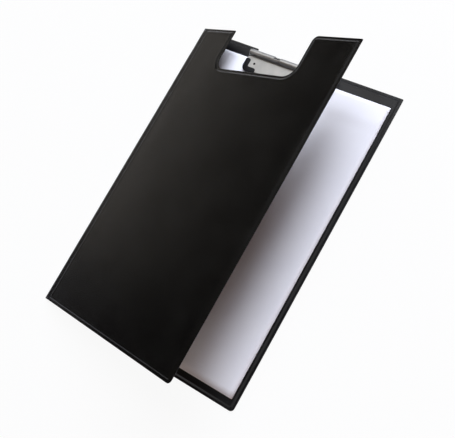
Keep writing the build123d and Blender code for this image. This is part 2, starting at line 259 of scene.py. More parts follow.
def band_faces(rows, columns, closed=True, first=0, flip=False):
    """Quads between neighbouring rows of a grid of points, whose numbers start from the first one's. Each
    row closes on itself, or ends at its last column."""
    count = columns if closed else columns - 1
    row, column = np.meshgrid(np.arange(rows - 1), np.arange(count), indexing="ij")
    following = (column + 1) % columns
    quads = np.stack([
        row * columns + column, row * columns + following,
        (row + 1) * columns + following, (row + 1) * columns + column,
    ], -1).reshape(-1, 4) + first
    return quads[:, ::-1].tolist() if flip else quads.tolist()


def tube_faces(rows, columns):
    """Quads round a tube of closed rows, with one face over its first row and one over its last."""
    faces = band_faces(rows, columns)
    faces.append(list(range(columns))[::-1])
    faces.append([(rows - 1) * columns + i for i in range(columns)])
    return faces


def bridge_faces(outer, inner, flip=False):
    """Quads between two closed rows of points, which are given by their numbers."""
    quads = np.stack([outer, np.roll(outer, -1), np.roll(inner, -1), inner], -1)
    return (quads[:, ::-1] if flip else quads).tolist()


def rim_heights(inset, face_height):
    """Height of the vinyl over the panel's middle plane, this far in from its edge: half a cosine wave from
    the weld up to the face, a bell curve for the bead past its top, and another for the groove that the
    welding tool pressed beside its foot."""
    slope = np.clip((inset - weld_width) / rise_width, 0, 1)
    height = skin + (face_height - skin) * (0.5 - 0.5 * np.cos(math.pi * slope)) ** rise_fullness
    height += bead * np.exp(-(((inset - weld_width - rise_width - bead_place) / bead_width) ** 2))
    height -= groove_depth * np.exp(-(((inset - weld_width + groove_place) / groove_width) ** 2))
    return height


def face_triangles(name, corners, rim):
    """The flat of a panel as triangles: its rim, then a square grid of points that stays clear of the rim and
    of the cut. Returns the points, rim first, and the triangles."""
    grid = np.stack(np.meshgrid(
        np.arange(strip_end, reach, face_step), np.arange(-half_height, half_height, face_step)
    ), -1).reshape(-1, 2)
    cut_far, cut_near = corners[4], corners[5]
    low = np.array([strip_end, -half_height]) + rim_steps[0] + face_clear
    high = np.array([reach, half_height]) - rim_steps[0] - face_clear
    inside = ((grid > low) & (grid < high)).all(1)
    cut_low = np.array(cut_near) - rim_steps[0] - face_clear
    cut_high = np.array([cut_far[0], half_height]) + rim_steps[0] + face_clear
    inside &= ~((grid > cut_low) & (grid < cut_high)).all(1)
    flat = np.concatenate([rim, grid[inside]])
    border = [list(range(len(rim)))]
    only_inside, merge_distance, moved = 1, 1e-5, 1e-3
    spots, _, triangles, _, _, _ = delaunay_2d_cdt(
        [Vector(spot) for spot in flat], [], border, only_inside, merge_distance
    )
    spots = np.array([tuple(spot) for spot in spots])
    if len(spots) != len(flat) or abs(spots[:len(rim)] - rim).max() > moved:
        raise ValueError(f"{name}: the face's triangles moved its edge")
    return spots, triangles


def vinyl_skin(name, angle, middle, side, thickness, shape, finish):
    """One ply as a closed shell: rings of points from the face out over the rim, whose edge is a quarter of
    an ellipse, and back in along the stiff board. Two sines multiplied and a third added wave the face,
    which is cut off flat where the clipboard rests on it."""
    corners, radii = shape
    touch = 0.01
    face_height = thickness / 2
    core_height = face_height - skin + back_gap
    inset = np.array(rim_steps)
    height = rim_heights(inset, face_height)
    edge = np.clip(inset / weld_edge, 0, 1)
    rounding = blunt_edge + (1 - blunt_edge) * np.sqrt(1 - (1 - edge) ** 2)
    rings = np.stack([rounded_outline(corners, radii, step) for step in inset])
    at_fold = rings[:, :, 0] < strip_end + inset[:, None] + touch
    most = face_height if middle < 0 and side < 0 else math.inf
    level = np.minimum(height[:, None] * np.where(at_fold, 1.0, rounding[:, None]), most)
    back_inset = (0, weld_width + back_foot, weld_width + back_top, rim_steps[0])
    back_height = np.array([0, 0, core_height, core_height])
    back = np.stack([rounded_outline(corners, radii, step) for step in back_inset])
    loops = np.concatenate([rings, back])
    levels = np.concatenate([level, np.repeat(back_height[:, None], level.shape[1], 1)])
    count = loops.shape[1]
    spots, triangles = face_triangles(name, corners, loops[0])
    wave = np.sin(spots[:, 0] / wave_across + wave_offset * side) * np.sin(spots[:, 1] / wave_along)
    wave += np.sin(spots[:, 1] / wave_drift + 1)
    wave[:count] = 0
    face_level = np.minimum(height[0] + wave_depth * wave, most)
    across = np.concatenate([loops[1:].reshape(-1, 2), spots])
    depth = np.concatenate([levels[1:].ravel(), face_level])
    points = on_panel(angle, middle, across[:, 0], across[:, 1], side * depth)
    first = (len(loops) - 1) * count
    faces = band_faces(len(loops) - 1, count, flip=side > 0)
    column = np.arange(count)
    faces += bridge_faces(first + column, column, side > 0)
    faces += [[first + i for i in (face if side > 0 else face[::-1])] for face in triangles]
    back_face = [(len(loops) - 2) * count + i for i in range(count)]
    faces.append(back_face[::-1] if side > 0 else back_face)
    return make_piece(name, points, faces, finish)


def leather_vinyl(name, deep, raised, roughness, pebble, gloss):
    """Embossed PVC, satin. The grain is cells as wide as the pebble, with hair-fine creases between them;
    real grain is about 0.7 mm and is drawn a little coarser to show. Rubbed places are greyer and duller."""
    crease_share, crease_relief = 0.12, 0.016
    fine_grain, fine_relief = 0.9, 0.01
    rubbed_patch = 28.0
    finish, tree, shader, place = new_finish(name, IOR=1.5, Specular_IOR_Level=gloss)
    cells = add_node(tree, "ShaderNodeTexVoronoi", {
        "Vector": place, "Scale": 1 / (pebble * MM),
    }, feature="DISTANCE_TO_EDGE")
    patches = add_node(tree, "ShaderNodeTexNoise", {
        "Vector": place, "Scale": 1 / (rubbed_patch * MM), "Detail": 3.0,
    })
    fine = add_node(tree, "ShaderNodeTexNoise", {"Vector": place, "Scale": 1 / (fine_grain * MM)})
    # Each range gives its factor, where that runs from and to, and what the result runs from and to.
    creases = add_node(tree, "ShaderNodeMapRange", (cells, 0, crease_share, 0, 1))
    rubbed = add_node(tree, "ShaderNodeMapRange", (patches, 0.35, 0.65, 0, 1))
    dullness = add_node(tree, "ShaderNodeMapRange", (patches, 0.3, 0.7, roughness - 0.015, roughness + 0.02))
    tone = add_node(tree, "ShaderNodeMix", {0: rubbed, 6: linear(deep), 7: linear(raised)}, data_type="RGBA")
    sunk = add_node(tree, "ShaderNodeBump", {"Height": creases, "Distance": crease_relief * MM})
    relief = add_node(tree, "ShaderNodeBump", {
        "Height": fine, "Distance": fine_relief * MM, "Normal": sunk,
    })
    fill(tree, shader, {"Base Color": tone, "Roughness": dullness, "Normal": relief})
    return finish


# The outer ply is deep black with a soft shine. The lining has a finer grain and is greyer and brighter.
outer_vinyl = leather_vinyl("grained_black_pvc", "#030303", "#080807", 0.25, 1.3, 0.28)
inner_vinyl = leather_vinyl("lining_black_pvc", "#08080a", "#0e0f11", 0.3, 1.1, 0.5)
recess = panel_corners(recess_width, recess_depth, recess_corner, recess_lips)
notch = panel_corners(notch_width, notch_depth, notch_corner, notch_lips, notch_shift)
plies = (("outer", 1, outer_vinyl, "grained_vinyl"), ("inner", -1, inner_vinyl, "lining_vinyl"))
for panel, up, angle, middle, thickness, shape in (
    ("board", -1, 0, -fold_radius, board_thickness, recess),
    ("cover", 1, rest, fold_radius, cover_thickness, notch),
):
    for word, outwards, finish, slot in plies:
        ply = vinyl_skin(f"{panel}_{word}_vinyl", angle, middle, up * outwards, thickness, shape, finish)
        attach(ply, panel)
        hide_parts(f"{panel}_{word}_skin")

# Spine. The same two plies run on from panel to panel with no board between them, welded face to face,
# and fold round like a soft hinge. The vinyl there keeps faint creases that run along the fold.
crease_depth = 0.07
crease_reach = 1.6
crease_short = 5.1
crease_long = 13.7
crease_drift = 31.0
fold_steps = 25
spine_rows = 81


def spine_ply(name, inner, outer, finish):
    """One ply across the fold as a closed tube of its own section: flat on the board, an arc round the fold's
    axis, flat on the cover, then back along its other face. Sines along the fold draw its radius in, by a
    bell curve with its top at the arc."""
    bend = np.linspace(-math.pi / 2, rest - 1.5 * math.pi, fold_steps)
    flat = np.linspace(strip_end, 0, 4)[:-1]
    along_y = np.linspace(-half_height, half_height, spine_rows)

    def run(radius):
        """One face of the ply, this far from the fold's axis: two straights joined by an arc."""
        lower = np.stack([flat, 0 * flat - radius], -1)
        arc = np.stack([np.cos(bend), np.sin(bend)], -1) * radius
        out = np.array([math.cos(rest), math.sin(rest)])
        up = np.array([-math.sin(rest), math.cos(rest)])
        upper = flat[::-1, None] * out + up * radius
        return np.concatenate([lower, arc, upper])

    section = np.concatenate([run(outer), run(inner)[::-1]])
    count = len(section)
    length = np.linalg.norm(section, axis=1, keepdims=True)
    ripple = np.sin(along_y / crease_short) * np.sin(along_y / crease_long + 1)
    ripple += 0.5 * np.sin(along_y / crease_drift)
    size = np.exp(-((section[:, 0] + crease_reach) / crease_reach) ** 2) * crease_depth
    radial = section[None] * (1 - np.abs(ripple)[:, None, None] * (size / length[:, 0])[None, :, None])
    y = np.repeat(along_y[:, None], count, 1)
    points = np.stack([fold_x + radial[:, :, 0], y, fold_z + radial[:, :, 1]], -1)
    return make_piece(name, points, tube_faces(spine_rows, count), finish)


for word, outwards, finish, slot in plies:
    faces_at = sorted((fold_radius, fold_radius + outwards * skin))
    ply = spine_ply(f"spine_{word}_vinyl", *faces_at, finish)
    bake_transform(ply)
    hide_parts(f"spine_strip_{word}")

# Document pocket inside the cover. A sheet of smooth black vinyl, 0.25 mm thick, welded to the lining on
# three sides, with a scooped mouth for the thumb. The mouth stands a little off the lining.
pocket_sheet = 0.25
pocket_height = 205.0
pocket_margin = 3.3
pocket_weld = 2.0
pocket_gap = 0.05
scoop_width = 60.0
scoop_depth = 9.0
mouth_lift = 0.5


def pocket_sheet_piece(finish):
    """The sheet as a grid: across the pocket and from its bottom to a top edge that dips along a circle.
    It bulges as one minus the fourth power of the way from its middle to its welds, and with the cube of
    the way up to its mouth."""
    near = strip_end + pocket_margin
    far = reach - pocket_margin
    bottom = -half_height + pocket_margin
    middle = (near + far) / 2
    half = scoop_width / 2
    radius = (half ** 2 + scoop_depth ** 2) / (2 * scoop_depth)
    across = np.unique(np.concatenate([
        np.linspace(near, far, 49), middle + np.linspace(-half, half, 25),
        [near + pocket_weld, far - pocket_weld],
    ]))
    share = np.concatenate([[0, pocket_weld / pocket_height], np.linspace(0.03, 0.97, 30), [0.99, 1.0]])
    offset = np.minimum(abs(across - middle), half)
    dip = np.sqrt(radius ** 2 - offset ** 2) - (radius - scoop_depth)
    top = bottom + pocket_height - dip
    along = bottom + share[:, None] * (top - bottom)[None]
    sideways = (across - middle) / (middle - near - pocket_weld)
    bulge = np.clip(1 - sideways ** 4, 0, 1)[None] * (share[:, None] ** 3)
    height = -cover_thickness / 2 - bead - pocket_gap - pocket_sheet - mouth_lift * bulge
    points = on_panel(rest, fold_radius, np.repeat(across[None], len(share), 0), along, height)
    faces = band_faces(len(share), len(across), closed=False, flip=True)
    piece = make_piece("cover_pocket_sheet", points, faces, finish)
    shell = piece.modifiers.new("thickness", "SOLIDIFY")
    shell.thickness = pocket_sheet * MM
    shell.offset = -1
    return piece


# Calendered PVC film: black and smooth, so it shines more evenly than the grained vinyl, with a faint haze
# and the slight ripple that the rollers leave.
haze_patch = 14.0
roller_ripple = 1.6
roller_relief = 0.012
pocket_vinyl, tree, shader, place = new_finish("smooth_black_pvc_film", IOR=1.5)
haze = add_node(tree, "ShaderNodeTexNoise", {
    "Vector": place, "Scale": 1 / (haze_patch * MM), "Detail": 4.0,
})
ripple = add_node(tree, "ShaderNodeTexNoise", {"Vector": place, "Scale": 1 / (roller_ripple * MM)})
tone = add_node(
    tree, "ShaderNodeMix", {0: haze, 6: linear("#0b0b0c"), 7: linear("#101011")}, data_type="RGBA"
)
dullness = add_node(tree, "ShaderNodeMapRange", (haze, 0.3, 0.7, 0.29, 0.31))
relief = add_node(tree, "ShaderNodeBump", {"Height": ripple, "Distance": roller_relief * MM})
fill(tree, shader, {"Base Color": tone, "Roughness": dullness, "Normal": relief})
pocket = pocket_sheet_piece(pocket_vinyl)
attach(pocket, "cover")
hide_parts("cover_pocket")

# Clip base. A flat plate of 0.8 mm sheet steel, blanked, nickel-plated and riveted to the board, with a
# small ear bent up at each end that carries the pin.
pin_low, pin_high = (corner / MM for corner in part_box("clip_pin"))
pin_y = (pin_low.y + pin_high.y) / 2
pin_z = (pin_low.z + pin_high.z) / 2
base_low, base_high = (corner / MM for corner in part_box("clip_base"))
base_sheet = 0.8
base_inset = 6.7
base_corner = 3.0
pressed_edge = 0.18
tumbled_edge = 0.12
ear_width = 6.0
ear_bend = 0.9
ear_inner_bend = 0.1
ear_overlap = 4.0
ear_tab = 3.0


def round_edges(piece, radius, angle=40, segments=2):
    """Breaks every sharp edge, as tumbling does after the press."""
    bevel = piece.modifiers.new("edges", "BEVEL")
    bevel.width = radius * MM
    bevel.segments = segments
    bevel.limit_method = "ANGLE"
    bevel.angle_limit = math.radians(angle)
    bevel.harden_normals = True


def plate_points(corners, radii, low, high, rounding, spacing=40.0):
    """A flat plate as closed rings from its lower face to its upper face; its edge is a quarter circle below
    and above. Returns the points and the faces, with an n-sided face at each end."""
    turn = np.linspace(0, math.pi / 2, 4)
    inset = rounding * (1 - np.sin(turn))
    lift = rounding * (1 - np.cos(turn))
    insets = np.concatenate([inset, inset[::-1]])
    heights = np.concatenate([low + lift, (high - lift)[::-1]])
    rings = np.stack([rounded_outline(corners, radii, step, spacing) for step in insets])
    count = rings.shape[1]
    level = np.repeat(heights[:, None, None], count, 1)
    points = np.concatenate([rings, level], -1).reshape(-1, 3)
    return points, tube_faces(len(insets), count)


def join_shells(*shells):
    """Several closed shells of one piece, as one list of points and one of faces."""
    points = []
    faces = []
    for shell_points, shell_faces in shells:
        first = sum(len(group) for group in points)
        points.append(np.asarray(shell_points).reshape(-1, 3))
        faces += [[first + i for i in face] for face in shell_faces]
    return np.concatenate(points), faces


def ear(side):
    """An ear as a strip: out from the plate, round a bend, and up to a half-round end at the pin. Its outer
    and inner faces are one sheet apart, and its half width closes in a half circle at the top."""
    outer = base_high.x
    foot = board_thickness
    half = ear_width / 2
    narrowest = 0.05
    start = outer - ear_overlap
    bend = np.linspace(0, math.pi / 2, 7)
    up = np.linspace(foot + ear_bend, pin_z, 3)[1:-1]
    round_end = pin_z + half * np.sin(np.linspace(0, math.pi / 2, 9))
    bend_x = outer - ear_bend + ear_bend * np.sin(bend)
    path_x = np.concatenate([[start], bend_x, 0 * up + outer, 0 * round_end + outer])
    path_z = np.concatenate([[foot], foot + ear_bend - ear_bend * np.cos(bend), up, round_end])
    rise = np.clip(path_z - pin_z, 0, half)
    half_width = np.maximum(np.sqrt(half ** 2 - rise ** 2), narrowest)
    inner_x = np.minimum(path_x, outer - base_sheet)
    inner_x[1:1 + len(bend)] = outer - base_sheet - ear_inner_bend * np.cos(bend)
    inner_x[0] = start
    inner_z = np.maximum(path_z, foot + base_sheet)
    loop_x = np.stack([path_x, path_x, inner_x, inner_x], 1)
    loop_z = np.stack([path_z, path_z, inner_z, inner_z], 1)
    loop_y = half_width[:, None] * np.array([-1, 1, 1, -1])
    points = np.stack([side * loop_x, pin_y + loop_y, loop_z], -1)
    faces = tube_faces(len(path_x), 4)
    return points.reshape(-1, 3), [face[::-1] for face in faces] if side < 0 else faces


def plated_steel(name, dull, bright, roughness, brush):
    """Plated or drawn steel: a grey metal with faint cloudy patches, whose polishing lines run along the clip
    and are as much longer than wide as the brush is below 1. Lines finer than 0.3 mm would not show."""
    line_width, line_relief = 0.3, 0.012
    cloud_width = 9.0
    finish, tree, shader, place = new_finish(name, Metallic=1.0)
    stretched = add_node(tree, "ShaderNodeMapping", {"Vector": place, "Scale": (brush, 1.0, 1.0)})
    lines = add_node(tree, "ShaderNodeTexNoise", {
        "Vector": stretched, "Scale": 1 / (line_width * MM), "Detail": 3.0,
    })
    clouds = add_node(tree, "ShaderNodeTexNoise", {
        "Vector": place, "Scale": 1 / (cloud_width * MM), "Detail": 4.0,
    })
    cloudy = add_node(tree, "ShaderNodeMapRange", (clouds, 0.3, 0.7, 0, 1))
    tone = add_node(tree, "ShaderNodeMix", {0: cloudy, 6: linear(dull), 7: linear(bright)}, data_type="RGBA")
    dullness = add_node(tree, "ShaderNodeMapRange", (clouds, 0.3, 0.7, roughness - 0.02, roughness + 0.04))
    relief = add_node(tree, "ShaderNodeBump", {"Height": lines, "Distance": line_relief * MM})
    fill(tree, shader, {"Base Color": tone, "Roughness": dullness, "Normal": relief})
    return finish


# Satin nickel plating: light grey, with soft reflections drawn out along the clip.
nickel = plated_steel("satin_nickel_on_steel", "#b0b0af", "#bfbebb", 0.35, 0.03)
half_base = base_high.x - base_inset
back_y = base_high.y
front_y = base_low.y
tab = ear_width / 2
tab_end = base_high.x - ear_tab
# Half of the plate's outline, each corner with its radius, and the same half mirrored.
right_half = [
    (half_base, front_y, base_corner), (half_base, pin_y - tab, 0.5), (tab_end, pin_y - tab, 0.1),
    (tab_end, pin_y + tab, 0.1), (half_base, pin_y + tab, 0.5), (half_base, back_y, 1.0),
]
left_half = [(-x, y, radius) for x, y, radius in right_half[::-1]]
outline = left_half[-1:] + right_half + left_half[:-1]
base_corners = [(x, y) for x, y, radius in outline]
base_radii = [radius for x, y, radius in outline]
base_top = board_thickness + base_sheet
base_shells = join_shells(
    plate_points(base_corners, base_radii, board_thickness, base_top, pressed_edge), ear(-1), ear(1)
)
base = make_piece("clip_base_plate", *base_shells, nickel)
round_edges(base, tumbled_edge)
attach(base, "board")
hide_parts("clip_base")

# Paper. Eight loose A4 sheets under the jaw. They lie on the board, rise over the clip's base, and are
# squared up by hand, so each lies a little out of line with the others.
paper_low, paper_high = (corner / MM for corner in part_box("paper_stack"))
sheet_count = 8
sheet_step = (paper_high.z - paper_low.z - base_sheet) / sheet_count
sheet_share = 0.8
sheet_slip = 0.22
sheet_turn = 0.0009
rise_length = 15.0
rise_ahead = 1.5
lever_depth = 19.6
jaw_front = pin_y - lever_depth
corner_lift = 0.5
corner_reach = 60.0


def paper_sheets(finish):
    """Each sheet is a grid that rises to the clip's base in half a cosine wave, and whose free corner lifts
    with the square of the nearness to it, most in the top sheet. Sheets differ by a small shift and turn."""
    rng = np.random.default_rng(7)
    across = np.linspace(paper_low.x, paper_high.x, 43)
    end = jaw_front - rise_ahead
    along = np.unique(np.concatenate([
        np.linspace(paper_low.y, end - rise_length, 40), np.linspace(end - rise_length, end, 13),
        np.linspace(end, paper_high.y, 6),
    ]))
    x, y = np.meshgrid(across, along)
    step = 0.5 - 0.5 * np.cos(math.pi * np.clip((y - end + rise_length) / rise_length, 0, 1))
    nearness = np.clip(1 - (paper_high.x - x) / corner_reach, 0, 1)
    nearness *= np.clip(1 - (y - paper_low.y) / corner_reach, 0, 1)
    shells = []
    for number in range(sheet_count):
        shift = rng.uniform(-sheet_slip, sheet_slip, 2)
        turn = rng.uniform(-sheet_turn, sheet_turn)
        lift = corner_lift * nearness ** 2 * (number / (sheet_count - 1)) ** 2
        top = paper_low.z + (number + 1) * sheet_step + base_sheet * step + lift
        edge_x = x + shift[0] - turn * y
        edge_y = y + shift[1] + turn * x
        upper = np.stack([edge_x, edge_y, top], -1)
        lower = np.stack([edge_x, edge_y, top - sheet_share * sheet_step], -1)
        rows, columns = x.shape
        faces = band_faces(rows, columns, closed=False)
        faces += band_faces(rows, columns, closed=False, first=rows * columns, flip=True)
        index = np.arange(rows * columns).reshape(rows, columns)
        rim = np.concatenate([index[0, :-1], index[:-1, -1], index[-1, :0:-1], index[:0:-1, 0]])
        faces += bridge_faces(rim + rows * columns, rim)
        shells.append((np.concatenate([upper.reshape(-1, 3), lower.reshape(-1, 3)]), faces))
    return make_piece("paper_sheets", *join_shells(*shells), finish)


# Office paper is bleached and pressed: matt white with a trace of blue, very slightly cloudy. Its fibres are
# finer than a tenth of a millimetre and are drawn coarser to show.
fibre_fleck = 1.2
fleck_relief = 0.02
cloud_patch = 25.0
office_paper, tree, shader, place = new_finish("white_office_paper", Roughness=0.75)
flecks = add_node(tree, "ShaderNodeTexNoise", {
    "Vector": place, "Scale": 1 / (fibre_fleck * MM), "Detail": 4.0,
})
cloud = add_node(tree, "ShaderNodeTexNoise", {"Vector": place, "Scale": 1 / (cloud_patch * MM)})
tone = add_node(
    tree, "ShaderNodeMix", {0: cloud, 6: linear("#f1f1f5"), 7: linear("#f7f7f9")}, data_type="RGBA"
)
relief = add_node(tree, "ShaderNodeBump", {"Height": flecks, "Distance": fleck_relief * MM})
fill(tree, shader, {"Base Color": tone, "Normal": relief})
paper = paper_sheets(office_paper)
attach(paper, "board")
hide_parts("paper_stack")

# Pin. A drawn steel rod, 2.5 mm across, that carries the lever and the springs. It is pushed through the
# ears, and both ends are then rolled over into low domed heads.
pin_radius = 1.25
pin_head = 0.9
pin_head_radius = (pin_high.z - pin_low.z) / 2
dome_fullness = 0.7
dome_share = 0.7
pin_edge = 0.08


def turned(radii, places, centre, axis, count=40):
    """A surface of revolution: a circle of this radius at each place along the axis. Its first and last
    points lie on the axis, so both ends are closed."""
    radii = np.asarray(radii, float)
    places = np.asarray(places, float)
    angle = np.linspace(0, 2 * math.pi, count, endpoint=False)
    axis = np.asarray(axis, float)
    first = np.roll(axis, 1)
    second = np.cross(axis, first)
    spoke = np.cos(angle)[:, None] * first + np.sin(angle)[:, None] * second
    middle = np.asarray(centre, float) + places[:, None] * axis
    points = middle[1:-1, None] + radii[1:-1, None, None] * spoke
    rows = len(radii) - 2
    faces = band_faces(rows, count)
    base = rows * count
    ring = np.arange(count)
    faces += np.stack([np.roll(ring, -1), ring, 0 * ring + base], -1).tolist()
    last = (rows - 1) * count + ring
    faces += np.stack([last, np.roll(last, -1), 0 * ring + base + 1], -1).tolist()
    return np.concatenate([points.reshape(-1, 3), middle[[0, -1]]]), faces


# Drawn steel is bare and oiled: darker than the plating, with sharper reflections.
pin_steel = plated_steel("oiled_drawn_steel", "#6d6d6c", "#8a8a88", 0.3, 0.2)
half_pin = pin_high.x
dome = np.linspace(0, math.pi / 2, 6)
dome_radii = pin_head_radius * np.sin(dome) ** dome_fullness
dome_places = -half_pin + pin_head * dome_share * (1 - np.cos(dome))
rod_start = -half_pin + pin_head
pin_radii = np.concatenate([dome_radii, [pin_head_radius, pin_radius]])
pin_places = np.concatenate([dome_places, [rod_start, rod_start]])
pin = make_piece("clip_pin_rod", *turned(
    np.concatenate([pin_radii, pin_radii[::-1]]), np.concatenate([pin_places, -pin_places[::-1]]),
    (0, pin_y, pin_z), (1, 0, 0),
), pin_steel)
round_edges(pin, pin_edge)
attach(pin, "board")
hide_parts("clip_pin")

# Springs. Two torsion springs of 0.8 mm wire are slid on the pin. The foot of each lies back on the base,
# and its tail stands in a slot of the barrel and pushes the slot's edge forward.
wire = 0.8
coil_radius = 1.8
coil_pitch = 1.4
coil_turns = 4
points_per_turn = 28
tail_lean = 30.0
tail_length = 2.5
spring_offset = 17.3
foot_length = 2.2
foot_bend = 1.0
foot_gap = 0.06


def wire_tube(path, radius, count=12):
    """A round wire along a path: each point carries a circle square to the path, started from the pin's
    direction, and both ends are closed."""
    along = np.gradient(path, axis=0)
    along /= np.linalg.norm(along, axis=1, keepdims=True)
    sideways = np.array([1.0, 0, 0]) - along * along[:, :1]
    sideways /= np.linalg.norm(sideways, axis=1, keepdims=True)
    other = np.cross(along, sideways)
    angle = np.linspace(0, 2 * math.pi, count, endpoint=False)[None, :, None]
    circle = np.cos(angle) * sideways[:, None] + np.sin(angle) * other[:, None]
    points = path[:, None] + radius * circle
    return points.reshape(-1, 3), tube_faces(len(path), count)


def spring_path(side):
    """Foot, quarter bend, rise, helix round the pin and straight tail, as one row of points."""
    turns = coil_turns + tail_lean / 360
    first_x = side * (spring_offset - turns * coil_pitch / 2)
    turn = np.linspace(0, turns, points_per_turn * coil_turns)
    angle = 2 * math.pi * turn
    coil = np.stack([
        first_x + side * coil_pitch * turn,
        pin_y + coil_radius * np.cos(angle),
        pin_z + coil_radius * np.sin(angle),
    ], -1)
    foot_z = base_top + wire / 2 + foot_gap
    ankle_y = pin_y + coil_radius
    bend = np.linspace(0, math.pi / 2, 7)[:, None]
    corner = np.concatenate([
        0 * bend + first_x,
        ankle_y + foot_bend * (1 - np.sin(bend)),
        foot_z + foot_bend * (1 - np.cos(bend)),
    ], 1)
    foot = np.array([[first_x, ankle_y + foot_bend + foot_length, foot_z]])
    shank = np.array([[first_x, ankle_y, (foot_z + foot_bend + pin_z) / 2]])
    sideways = side * coil_pitch / (2 * math.pi * coil_radius)
    onwards = np.array([sideways, -math.sin(angle[-1]), math.cos(angle[-1])])
    tail = coil[-1] + onwards / np.linalg.norm(onwards) * np.linspace(0, tail_length, 4)[1:, None]
    return np.concatenate([foot, corner, shank, coil, tail])


# Spring wire, nearly black with a thin dull shine along each turn; the black is painted shade for the
# barrel's slots.
spring_wire = plated_steel("spring_wire_painted_shade", "#232325", "#37373a", 0.38, 1.0)
clip_ends = ((-1, "left"), (1, "right"))
for side, word in clip_ends:
    path = spring_path(side)
    spring = make_piece(f"clip_spring_{word}_wire", *wire_tube(path, wire / 2), spring_wire)
    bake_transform(spring)
    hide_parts(f"clip_spring_{word}")

# Lever. One sheet of 0.9 mm steel, blanked and rolled: a turned-down jaw, a flat plate to press, a valley and
# a barrel that turns on the pin. Two slots let the springs in, and a cheek closes each end.
lever_sheet = 0.9
lever_drop = 1.95
jaw_bend = 1.0
jaw_gap = 0.1
valley_radius = 0.7
barrel_radius = 3.4
lever_edge = 0.15
cap_wall = 0.8
cap_low, cap_high = (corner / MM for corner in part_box("corner_cap_left"))
cap_right_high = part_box("corner_cap_right")[1] / MM
half_clip = cap_right_high.x
half_plate = half_clip - cap_wall
half_barrel = 48.1
plate_corner = 5.2
shoulder_start = 3.4
shoulder_run = 1.0
slot_width = 7.6

# Degrees round the pin: where the sheet ends, where the slots begin, and a mark for what isn't rolled.
barrel_end = -10.0
slot_from = 96.6
not_rolled = 999.0


def lever_profile():
    """The middle line of the sheet seen from the clip's end, measured from the pin: straight up the jaw, a
    quarter bend, the plate, the valley's arc and the barrel's arc. Returns the line and its degrees round
    the pin, which are counted only on the barrel."""
    jaw_y = -lever_depth + lever_sheet / 2
    jaw_foot = paper_high.z + jaw_gap - pin_z
    roll = barrel_radius - lever_sheet / 2
    valley_z = valley_radius - lever_drop
    valley_y = -math.sqrt((roll + valley_radius) ** 2 - valley_z ** 2)
    meet = math.atan2(valley_z, valley_y) % (2 * math.pi)
    quarter = np.linspace(math.pi, math.pi / 2, 6)
    jaw = np.stack([
        jaw_y + jaw_bend + jaw_bend * np.cos(quarter), -lever_drop - jaw_bend + jaw_bend * np.sin(quarter)
    ], -1)
    plate_y = np.linspace(jaw_y + jaw_bend, valley_y, 20)[1:-1]
    plate = np.stack([plate_y, 0 * plate_y - lever_drop], -1)
    dip = np.linspace(-math.pi / 2, meet - math.pi, 6)
    valley = np.stack([valley_y + valley_radius * np.cos(dip), valley_z + valley_radius * np.sin(dip)], -1)
    wind = np.linspace(meet, math.radians(barrel_end), 34)[1:]
    barrel = roll * np.stack([np.cos(wind), np.sin(wind)], -1)
    line = np.concatenate([[[jaw_y, jaw_foot]], jaw, plate, valley, barrel])
    round_pin = np.concatenate([np.full(len(line) - len(wind), not_rolled), np.degrees(wind)])
    return line, round_pin


def lever_sheet_points():
    """The rolled sheet as a grid along the profile and the pin. Its half length is the plate's, rounded off
    by a quarter circle in front, and drops in a smooth step to the barrel's. Slots leave cells out."""
    corner_steps = (0.15, 0.35, 0.6, 0.8, 0.93, 1)
    least_corner = 0.3
    line, round_pin = lever_profile()
    inner = half_plate - plate_corner
    slots = [spring_offset - slot_width / 2, spring_offset + slot_width / 2]
    half_columns = np.unique(np.concatenate([
        np.linspace(0, inner, 16), slots, [inner + plate_corner * step for step in corner_steps]
    ]))
    column = np.concatenate([-half_columns[:0:-1], half_columns])
    front = line[:, 0] + lever_depth
    nose = np.clip(1 - front / plate_corner, 0, 1)
    rounded = plate_corner * (np.sqrt(1 - nose ** 2) - 1)
    step = np.clip((line[:, 0] + shoulder_start + shoulder_run) / shoulder_run, 0, 1)
    smooth = step * step * (3 - 2 * step)
    half = half_plate + rounded - (half_plate - half_barrel) * smooth
    outer = np.clip((abs(column) - inner) / plate_corner, 0, 1)
    corner = outer * np.maximum(half - inner, least_corner)[:, None]
    x = np.sign(column) * (np.minimum(abs(column), inner) + corner)
    y = np.repeat(line[:, :1], len(column), 1) + pin_y
    z = np.repeat(line[:, 1:], len(column), 1) + pin_z
    quads = np.array(band_faces(len(line), len(column), closed=False))
    row, place = np.divmod(quads[:, 0], len(column))
    middle = (abs(column[place]) + abs(column[np.minimum(place + 1, len(column) - 1)])) / 2
    in_slot = (middle > slots[0]) & (middle < slots[1]) & (round_pin[row] < slot_from)
    return np.stack([x, y, z], -1), quads[~in_slot].tolist()


lever_points, lever_faces = lever_sheet_points()
lever = make_piece("clip_lever_sheet", lever_points, lever_faces, nickel)
shell = lever.modifiers.new("thickness", "SOLIDIFY")
shell.thickness = lever_sheet * MM
shell.offset = 0
round_edges(lever, lever_edge, angle=50)
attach(lever, "lever")
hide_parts("clip_lever")
cheek_radius = barrel_radius - 0.1
cheek_face = barrel_radius - 0.35
for side, word in clip_ends:
    face = side * half_barrel
    cheek = make_piece(f"clip_cheek_{word}", *turned(
        [0, cheek_face, cheek_radius, cheek_radius, cheek_face, 0],
        [0, 0, lever_edge, lever_sheet - lever_edge, lever_sheet, lever_sheet],
        (face - (lever_sheet if side > 0 else 0), pin_y, pin_z), (1, 0, 0),
    ), nickel)
    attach(cheek, "lever")

